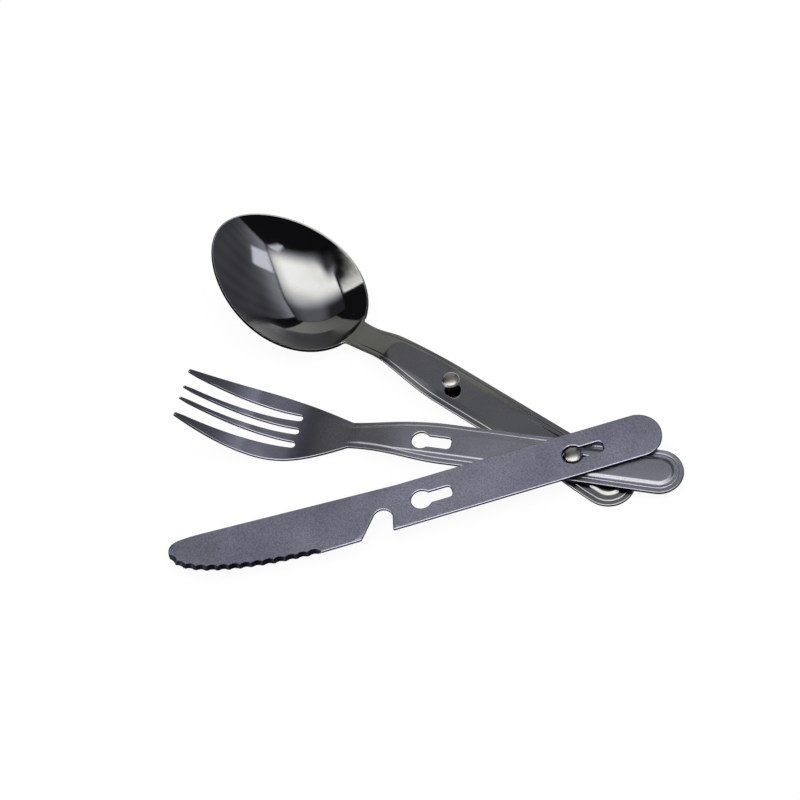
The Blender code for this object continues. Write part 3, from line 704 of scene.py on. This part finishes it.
def fork_half_width(x):
    """Half the fork's width at x."""
    narrowing = ease(between(x, FORK_SHOULDER, FORK_NECK))
    stem = FORK_HANDLE_WIDTH + (FORK_NECK_WIDTH - FORK_HANDLE_WIDTH) * narrowing
    stem = 0.5 * (stem + FORK_FLARE * (1 - ease(between(x, FORK_PIVOT, FLARE_END))))
    swell = np.sin(0.5 * math.pi * np.clip(between(x, FORK_NECK, FORK_WIDEST), 0, 1))
    palm = 0.5 * (FORK_NECK_WIDTH + (FORK_HEAD_WIDTH - FORK_NECK_WIDTH) * swell)
    taper = np.maximum(0, between(x, FORK_WIDEST, FORK_TIP)) ** TIP_BEND
    tines = 0.5 * (FORK_HEAD_WIDTH + (FORK_TIP_WIDTH - FORK_HEAD_WIDTH) * taper)
    return np.where(x < FORK_NECK, stem, np.where(x < FORK_WIDEST, palm, tines))


def fork_height(x, y):
    """Height of the fork's upper face before the border is pressed."""
    dip = -BELLY_DIP * ease(between(x, FORK_DIP_START, FORK_BELLY))
    climb = np.maximum(0, between(x, FORK_BELLY, FORK_TIP)) ** RISE_BEND
    climb = (FORK_RISE + BELLY_DIP) * climb - BELLY_DIP
    return FORK_PANEL + np.where(x < FORK_BELLY, dip, climb)


def tine_gap(middle, low_tip, high_tip):
    """The side of one tine, the round root of the gap and the side of the next."""
    radius, cut = 0.0012, 0.0003
    start = TINE_ROOT + radius
    share = between(FORK_TIP - TINE_POINT, start, FORK_TIP)
    low, high = middle - radius, middle + radius
    first = [(FORK_TIP, low_tip - cut), (FORK_TIP - TINE_POINT, low + (low_tip - low) * share)]
    last = [(FORK_TIP - TINE_POINT, high + (high_tip - high) * share), (FORK_TIP, high_tip + cut)]
    return np.concatenate([first, arc((start, middle), radius, 270, 90, 60), last])


x = np.linspace(FORK_PIVOT, FORK_TIP, 800)
side = np.stack([x, fork_half_width(x)], axis=1)
gaps = [tine_gap(-0.0059, -0.0087, -0.0032), tine_gap(0, -0.0018, 0.0018), tine_gap(0.0059, 0.0032, 0.0087)]
tail = arc((FORK_PIVOT, 0), FORK_TAIL_HALF, 90, 270, 200)
fork_loop = softened(np.concatenate([tail, side * (1, -1), *gaps, side[::-1]]), 0.0003, 0.0002)

# %% Make the fork
# Painted shade under the pieces: the back of the fork's tail and the knife's whole back are darkened this
# much.
BACK_SHADE = 0.8
fork = pressed_piece(
    "fork_sheet", [fork_loop, keyhole(0.0), keyhole(STUD_SPACING, FORK_FRONT_HOLE)], neck=FORK_NECK,
    half_width=fork_half_width, tail_centre=FORK_PIVOT, panel_end=0.1, steepness=0.25,
    border_fall=lambda x: 0.035 - 0.085 * (1 - ease(between(x, *TAIL_ZONE))),
    edge_rise=lambda x: 0.00038 * (1 - ease(between(x, -0.015, 0.02))),
    pressing=lambda x: 1 - ease(between(x, 0.078, 0.090)),
    height=fork_height, shade_and_dull=lambda x, y: (0 * x, BACK_SHADE * (1 - ease(between(x, 0.02, 0.05)))),
    steel_finish=fork_steel, place=FORK_PLACE,
)

# %% [markdown]
# ## Knife
#
# The knife is one flat blank with a bottle-opener notch. Its teeth are ground: a wheel dips into the upper
# face at every tooth, and leaves a hollow flute that runs out at the edge. The nodes do the same. Wheels
# are set at even steps along the edge's line, leaning like the grinder's, and are cut away from the blank.
# The flutes keep the wheels' material, a steel painted almost black as painted shade.

# %% Knife outline
KNIFE_HALF, KNIFE_TAIL, KNIFE_TIP = 0.0088, 0.033, 0.1493
BLADE_EDGE, BLADE_BACK, TIP_OFFSET, TEETH_START, KNIFE_FACE = 0.0092, 0.0124, 0.0072, 0.097, 0.0048
KNIFE_SLACK = 0.0002
handle = np.concatenate([arc((KNIFE_HALF - KNIFE_TAIL, 0), KNIFE_HALF, 90, 270, 120), [(0.064, -KNIFE_HALF)]])
back, tip = (0.138, -BLADE_BACK), (KNIFE_TIP, -TIP_OFFSET)
nose = bezier(
    [back, (KNIFE_TIP - 0.3 * (KNIFE_TIP - back[0]), -BLADE_BACK), (KNIFE_TIP, -BLADE_BACK), tip], 60
)
edge = bezier([tip, (KNIFE_TIP, 0.0086 - TIP_OFFSET), (TEETH_START + 0.031, BLADE_EDGE - 0.0018),
               (TEETH_START, BLADE_EDGE)], 300)
notch_middle, notch_radius, notch_mouth = (0.0719, KNIFE_HALF - 0.0094 + 0.0036), 0.0036, (0.0814, BLADE_EDGE)
offset = (notch_mouth[0] - notch_middle[0], notch_mouth[1] - notch_middle[1])
slope = math.degrees(math.atan2(offset[1], offset[0]) - math.acos(notch_radius / math.hypot(*offset)))
notch = arc(notch_middle, notch_radius, slope, -180, 80)
hook = (notch_middle[0] - notch_radius + 0.0012, KNIFE_HALF)
knife_loop = np.concatenate([handle, nose[:-1], edge, [notch_mouth], notch, [hook]])
knife_loop = softened(knife_loop, 0.0003, 0.00022)

# %% Knife blank
loops = [knife_loop, keyhole(KNIFE_SLACK), keyhole(STUD_SPACING + KNIFE_SLACK)]
outs = [outward(loop) for loop in loops]
points, faces, rings = blank(
    [loop - (ROLL_WIDTH + 0.00004) * out for loop, out in zip(loops, outs)], np.zeros((0, 2))
)
face = np.c_[points, np.full(len(points), KNIFE_FACE)]
straight_up = np.tile((0.0, 0.0, 1.0), (len(points), 1))
# Painted shade: the knife's back is darkened and roughened.
knife_back_shade = (np.zeros(len(points)), np.full(len(points), BACK_SHADE))
corners, _, polygons, masks = closed_sheet(face, straight_up, faces, rings, outs, knife_back_shade)
knife = new_piece("knife_sheet", corners, polygons)
for label, mask in masks.items():
    give(knife.data, label, mask)
knife.data.materials.append(satin_steel)
print("knife blank has", len(corners), "points")

# %% Geometry nodes: the ground teeth
TEETH, FLUTE_DEPTH, GRIND_WIDTH, EDGE_LAND = 14, 0.0008, 0.00115, 0.0002
WHEEL_RADIUS, WHEEL_LENGTH, WHEEL_SHIFT = 0.0048, 0.012, 0.0015
inputs = {
    "Geometry": "Geometry", "Edge Line": "Object", "Teeth": "Int", "Wheel Radius": "Float",
    "Wheel Length": "Float", "Wheel Lean": "Rotation", "Wheel Place": "Vector",
    "Steel": "Material", "Ground Steel Painted Dark": "Material",
}
teeth, inlet, outlet = group_tree("ground_teeth", "GeometryNodeTree", inputs, {"Geometry": "Geometry"})
line = add(teeth, "GeometryNodeObjectInfo", {"Object": inlet["Edge Line"]})
curve = add(teeth, "GeometryNodeMeshToCurve", {"Mesh": line.outputs["Geometry"]})
stops = add(teeth, "GeometryNodeResampleCurve", {"Curve": curve.outputs[0], "Count": inlet["Teeth"]})
wheel = add(teeth, "GeometryNodeMeshCylinder",
            {"Vertices": 160, "Radius": inlet["Wheel Radius"], "Depth": inlet["Wheel Length"]})
leant = add(teeth, "GeometryNodeTransform",
            {"Geometry": wheel.outputs[0], "Translation": inlet["Wheel Place"],
             "Rotation": inlet["Wheel Lean"]})
stone = add(teeth, "GeometryNodeSetMaterial",
            {"Geometry": leant.outputs[0], "Material": inlet["Ground Steel Painted Dark"]})
heading = add(teeth, "FunctionNodeAlignRotationToVector",
              {"Vector": teeth.nodes.new("GeometryNodeInputTangent").outputs[0]}, axis="X", pivot_axis="Z")
wheels = add(teeth, "GeometryNodeInstanceOnPoints",
             {"Points": stops.outputs[0], "Instance": stone.outputs[0], "Rotation": heading.outputs[0]})
ground = add(teeth, "GeometryNodeMeshBoolean",
             {"Mesh 1": inlet["Geometry"], "Mesh 2": wheels.outputs[0]},
             operation="DIFFERENCE", solver="EXACT")
fluted = add(teeth, "GeometryNodeMaterialSelection", {"Material": inlet["Ground Steel Painted Dark"]})
plain = add(teeth, "FunctionNodeBooleanMath", {0: fluted.outputs[0]}, operation="NOT")
end_tree(teeth, ground, inlet, outlet, plain.outputs[0])

# %% Grind the teeth and lay the knife down
centres = even_points(edge, 2 * TEETH + 1)[1::2]
line_mesh = bpy.data.meshes.new("edge_line")
spots = [(x, y, KNIFE_FACE - GAUGE) for x, y in centres]
line_mesh.from_pydata(spots, [(i, i + 1) for i in range(TEETH - 1)], [])
edge_line = bpy.data.objects.new("edge_line", line_mesh)
bpy.context.scene.collection.objects.link(edge_line)
bevel = math.atan2(GAUGE - EDGE_LAND, GRIND_WIDTH)
middle = Vector((0, math.cos(bevel), math.sin(bevel))) * WHEEL_SHIFT
inward, above = WHEEL_RADIUS * math.sin(bevel), WHEEL_RADIUS * math.cos(bevel)
middle += Vector((0, FLUTE_DEPTH - inward, EDGE_LAND + above))
formed(knife, teeth, {
    "Edge Line": edge_line, "Teeth": TEETH, "Wheel Radius": WHEEL_RADIUS, "Wheel Length": WHEEL_LENGTH,
    "Wheel Lean": (bevel - 0.5 * math.pi, 0.0, 0.0), "Wheel Place": middle,
    "Steel": satin_steel, "Ground Steel Painted Dark": ground_steel_painted_dark,
})
bpy.data.objects.remove(edge_line)
knife.data.set_sharp_from_angle(angle=math.radians(25))
even_shading = knife.modifiers.new("even_shading", "WEIGHTED_NORMAL")
even_shading.keep_sharp = True
knife.data = bpy.data.meshes.new_from_object(knife.evaluated_get(bpy.context.evaluated_depsgraph_get()))
knife.modifiers.clear()
knife.data.transform(KNIFE_PLACE)
print("knife has", len(knife.data.vertices), "points and finishes", [m.name for m in knife.data.materials])

# %% [markdown]
# ## Studs
#
# Each stud is a turned pin with a low domed head. Its tenon goes through the spoon's panel and is spread into
# a flat tail on the back. One is turned from its profile, and the nodes set it twice along the handle at the
# keyholes' spacing, the front one a little higher. The shank, the tail and the underside of the head are
# painted almost black and made rougher: painted shade under the head.

# %% One stud, turned
UNDER, HEAD_SEAT, HEAD_RADIUS, HEAD_RIM, DOME = -0.0003, 0.0036, 0.0033, 0.0006, 0.0010
profile = [(0.0016, UNDER - 0.0006), (0.0022, UNDER - 0.0005), (0.0025, UNDER - 0.0002), (0.0025, UNDER)]
profile += [(0.0013, UNDER), (0.0013, 0.0), (0.0018, 0.0), (0.0020, 0.0002), (0.0020, HEAD_SEAT)]
profile += [(0.0031, HEAD_SEAT), (HEAD_RADIUS, HEAD_SEAT + 0.0002)]
for angle in np.radians(np.linspace(0, 86, 20)):
    profile.append((HEAD_RADIUS * math.cos(angle), HEAD_SEAT + HEAD_RIM + DOME * math.sin(angle)))
SIDES = 72
ring_angles = 2 * math.pi * np.arange(SIDES) / SIDES
corners = np.concatenate([np.c_[r * np.cos(ring_angles), r * np.sin(ring_angles), np.full(SIDES, z)]
                          for r, z in profile])
corners = np.concatenate([corners, [(0, 0, UNDER - 0.0006), (0, 0, HEAD_SEAT + HEAD_RIM + DOME)]])
rows = ring_rows(len(profile), SIDES)
first, last = rows[0].tolist(), rows[-1].tolist()
polygons = quads_of(rows)
polygons += [(len(corners) - 2, b, a) for a, b in zip(first, first[1:])]
polygons += [(len(corners) - 1, a, b) for a, b in zip(last, last[1:])]
studs = new_piece("studs", corners, polygons)
# Painted shade: the shank, the tail and the head's underside are darkened almost to black.
shade_under_head = np.repeat([z < HEAD_SEAT + 0.0001 for _, z in profile], SIDES)
give(studs.data, "torn_edge_and_painted_shade", np.append(shade_under_head, [1.0, 0.0]))
studs.data.set_sharp_from_angle(angle=math.radians(40))

# %% Geometry nodes: a row of studs
inputs = {"Geometry": "Geometry", "Studs": "Int", "Spacing": "Vector", "Steel": "Material"}
riveting, inlet, outlet = group_tree("riveted_row", "GeometryNodeTree", inputs, {"Geometry": "Geometry"})
row = add(riveting, "GeometryNodeMeshLine", {"Count": inlet["Studs"], "Offset": inlet["Spacing"]})
set_in = add(riveting, "GeometryNodeInstanceOnPoints",
             {"Points": row.outputs[0], "Instance": inlet["Geometry"]})
end_tree(riveting, set_in, inlet, outlet)
FRONT_LIFT = 0.0008
formed(studs, riveting, {"Studs": 2, "Spacing": (STUD_SPACING, 0.0, FRONT_LIFT), "Steel": stud_steel})
studs.data.transform(SPOON_PLACE)
print("studs have", len(studs.data.vertices), "points")

# %% [markdown]
# ## Riding on the bodies
#
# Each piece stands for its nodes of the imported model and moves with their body: the spoon with both studs,
# the fork, and the knife.

# %% Ride and replace
for piece, body, nodes, finish in (
    (spoon, "spoon", ["spoon"], "polished_steel"),
    (studs, "spoon", ["front_stud", "rear_stud"], "stud_steel"),
    (fork, "fork", ["fork"], "polished_steel"),
    (knife, "knife", ["knife"], "satin_steel"),
):
    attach(piece, body)
    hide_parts(*nodes)

# %% [markdown]
# ## Studio
#
# Polished metal shows little of itself and much of the room, so the room matters as much as the finish. Small
# shiny things are photographed in a light tent: a bright cloth ceiling on the camera's side that fades
# towards the back, a bright left side, a grey back and right side with dark seams between them, and a dark
# front where the camera stands. Round it is a dim room with a faint glow low down at the front. All of this
# is seen by reflections only. The floor stays white and keeps a soft shadow from one wide lamp.

# %% Studio directions
view = camera.matrix_world.to_3x3() @ Vector((0, 0, -1))
away = Vector((view.x, view.y, 0)).normalized()
beside = away.cross(Vector((0, 0, 1)))
bowl = SPOON_PLACE @ Vector((BOWL_CENTRE, 0, 0))
studio = Matrix((beside, away, Vector((0, 0, 1)))).transposed()

tent_cloth = bpy.data.materials.new("tent_cloth")
tent_cloth.use_nodes = True
tree = tent_cloth.node_tree
tree.nodes.remove(tree.nodes["Principled BSDF"])
shine = add(tree, "ShaderNodeAttribute", attribute_name="glow")
lit = add(tree, "ShaderNodeEmission", {"Color": shine.outputs["Color"]})
tree.links.new(lit.outputs[0], tree.nodes["Material Output"].inputs["Surface"])


WARM, COOL, OLIVE = (1.0, 0.995, 0.96), (0.94, 0.96, 1.08), (1.0, 1.0, 0.93)


def paint(piece, bright, tint=None):
    """Makes a piece shine by itself; without a tint, dim places are cool and bright ones warm."""
    bright = bright[:, None]
    mixed = np.array(COOL) + (np.array(WARM) - np.array(COOL)) * ease(bright / 1.2)
    colours = np.c_[bright * (mixed if tint is None else np.array(tint)), np.ones(len(bright))]
    piece.data.attributes.new("glow", "FLOAT_COLOR", "POINT").data.foreach_set("color", colours.ravel())
    piece.data.materials.append(tent_cloth)


def reflections_only(piece):
    """Hides a piece from everything but reflections."""
    piece.visible_camera = piece.visible_diffuse = piece.visible_transmission = piece.visible_shadow = False


def card(name, corners, glow, tint=None, steps=32):
    """One cloth of the tent; corners are (beside, away, up), and glow gives its brightness from those."""
    a, b, c, d = (np.array(p, float) for p in corners)
    shares = np.linspace(0, 1, steps + 1)
    s, t = (g.reshape(-1, 1) for g in np.meshgrid(shares, shares))
    spots = (1 - t) * ((1 - s) * a + s * b) + t * ((1 - s) * d + s * c)
    rows = np.arange((steps + 1) ** 2).reshape(steps + 1, -1)
    made = new_piece(name, spots @ np.array(studio).T + np.array((bowl.x, bowl.y, 0)), quads_of(rows))
    paint(made, np.broadcast_to(np.asarray(glow(*spots.T), float), (len(spots),)), tint)
    reflections_only(made)
    return made


# %% Light tent
LEFT, RIGHT, FRONT, BACK, SEAM = -0.754, 0.577, -0.80, 0.73, 0.022
RIGHT_LEAN, BACK_GAP = 0.09, 0.16


def ceiling_glow(u, v, z):
    """White over the camera's side, faded out towards the back, the front edge and the right."""
    dim = 0.15 * (1 - 0.8 * ease((0.02 - u) / 0.3))
    lit = dim + 1.32 * (1 - ease((v + 0.14) / 0.5)) ** 1.5
    corner = ease((-0.33 - u) / 0.3) * ease((-0.15 - v) / 0.35)
    front = 0.05 + 0.95 * ease((v - FRONT) / 0.36)
    to_right = 1 - 0.6 * ease((u - 0.32) / 0.257)
    return lit * front * to_right * (1 - 0.95 * corner)


def cloth_folds(u, v, z):
    """Grey cloth, lighter under the ceiling, in soft folds."""
    folds = 0.012 * np.sin(26 * v + 9 * z) * np.sin(11 * v - 14 * z)
    return 0.07 + 0.26 * ease((z - 0.4) / 0.6) ** 1.5 + folds


def left_glow(u, v, z):
    """Bright cloth, dimmer low down and at its front edge."""
    return (0.4 + 0.85 * ease((z - 0.33) / 0.45)) * (0.15 + 0.85 * ease((v + 0.65) / 0.1))


tent = [
    card("ceiling", [(LEFT, FRONT, 1), (RIGHT - SEAM - RIGHT_LEAN, FRONT, 1), (RIGHT - SEAM, BACK - SEAM, 1),
                     (LEFT, BACK - SEAM, 1)], ceiling_glow, steps=64),
    card("right_side", [(RIGHT, FRONT, 0), (RIGHT, BACK - BACK_GAP, 0), (RIGHT, BACK - BACK_GAP, 1),
                        (RIGHT - RIGHT_LEAN, FRONT, 1)], cloth_folds, COOL, 64),
    card("back", [(-0.39, BACK, 0), (0.456, BACK, 0), (0.456, BACK, 1), (-0.39, BACK, 1)],
         lambda u, v, z: 0.21 + 0.14 * u - 0.03 * ease((z - 0.6) / 0.4), OLIVE),
    card("left_side", [(LEFT, -0.65, 0.33), (LEFT, 0.15, 0.33), (LEFT, 0.15, 0.90), (LEFT, -0.65, 0.86)],
         left_glow, WARM),
    card("window", [(0.516, -0.235, 0.96), (0.538, -0.158, 0.60), (0.523, -0.425, 0.67),
                    (0.492, -0.60, 0.98)], lambda u, v, z: 0.9, COOL),
    card("slit", [(0.12, -0.84, 0.99), (0.30, -0.66, 0.99), (0.43, -0.75, 0.99), (0.22, -0.85, 0.99)],
         lambda u, v, z: 0.8, COOL),
]
print("tent", [c.name for c in tent])

# %% Lamp
lamp = bpy.data.lights.new("wide_lamp", "AREA")
lamp.size = 1.2
lamp.energy = 8.0
wide_lamp = bpy.data.objects.new("wide_lamp", lamp)
wide_lamp.location = (0, 0, 1.5)
wide_lamp.visible_glossy = False
bpy.context.scene.collection.objects.link(wide_lamp)

# %% Floor
WHITE = (1.0, 1.0, 1.0, 1.0)


def seen_rays(tree):
    """1 for rays from the camera and for reflected and refracted ones, 0 for diffuse light."""
    rays = tree.nodes.new("ShaderNodeLightPath").outputs
    seen = sum_of(tree, "MAXIMUM", rays["Is Camera Ray"], rays["Is Glossy Ray"])
    return sum_of(tree, "MAXIMUM", seen, rays["Is Transmission Ray"])


floor_finish = bpy.data.materials.new("pale_floor")
floor_finish.use_nodes = True
tree = floor_finish.node_tree
tree.nodes.remove(tree.nodes["Principled BSDF"])
matt = add(tree, "ShaderNodeBsdfDiffuse", {"Color": (0.9, 0.9, 0.9, 1.0)})
glow = add(tree, "ShaderNodeEmission", {"Color": WHITE})
share = sum_of(tree, "MULTIPLY", seen_rays(tree), 0.92)
both = add(tree, "ShaderNodeMixShader", {0: share, 1: matt.outputs[0], 2: glow.outputs[0]})
tree.links.new(both.outputs[0], tree.nodes["Material Output"].inputs["Surface"])
floor = new_piece("floor", np.array([(-4, -4, 0), (4, -4, 0), (4, 4, 0), (-4, 4, 0)]), [(0, 1, 2, 3)])
floor.data.materials.append(floor_finish)

# %% Dim room, for reflections only
ROOM, TURNS, LEVELS = 2.0, 48, 32
lifts = np.radians(90 - 88 * np.arange(LEVELS + 1) / LEVELS)
lift, angle = np.meshgrid(lifts, 2 * math.pi * np.arange(TURNS) / TURNS, indexing="ij")
corners = [np.cos(lift) * np.cos(angle), np.cos(lift) * np.sin(angle), np.sin(lift)]
corners = ROOM * np.stack(corners, axis=2).reshape(-1, 3)
dome = new_piece("dim_walls", corners, quads_of(ring_rows(LEVELS + 1, TURNS)))
facing_front = -(corners @ np.array(away)) / np.maximum(np.hypot(corners[:, 0], corners[:, 1]), 0.001)
low = 1 - ease(between(np.degrees(np.arcsin(corners[:, 2] / ROOM)), 14, 27))
paint(dome, 0.008 + low * (0.03 + 0.30 * ease(between(facing_front, 0.1, 0.7))))
reflections_only(dome)

# %% World
world = bpy.data.worlds.new("white_room")
bpy.context.scene.world = world
world.use_nodes = True
tree = world.node_tree
strength = ramp(tree, seen_rays(tree), 0.0, 1.0, 0.9, 1.0)
tree.nodes["Background"].inputs["Color"].default_value = WHITE
tree.links.new(strength, tree.nodes["Background"].inputs["Strength"])
bpy.context.scene.view_settings.view_transform = "Standard"
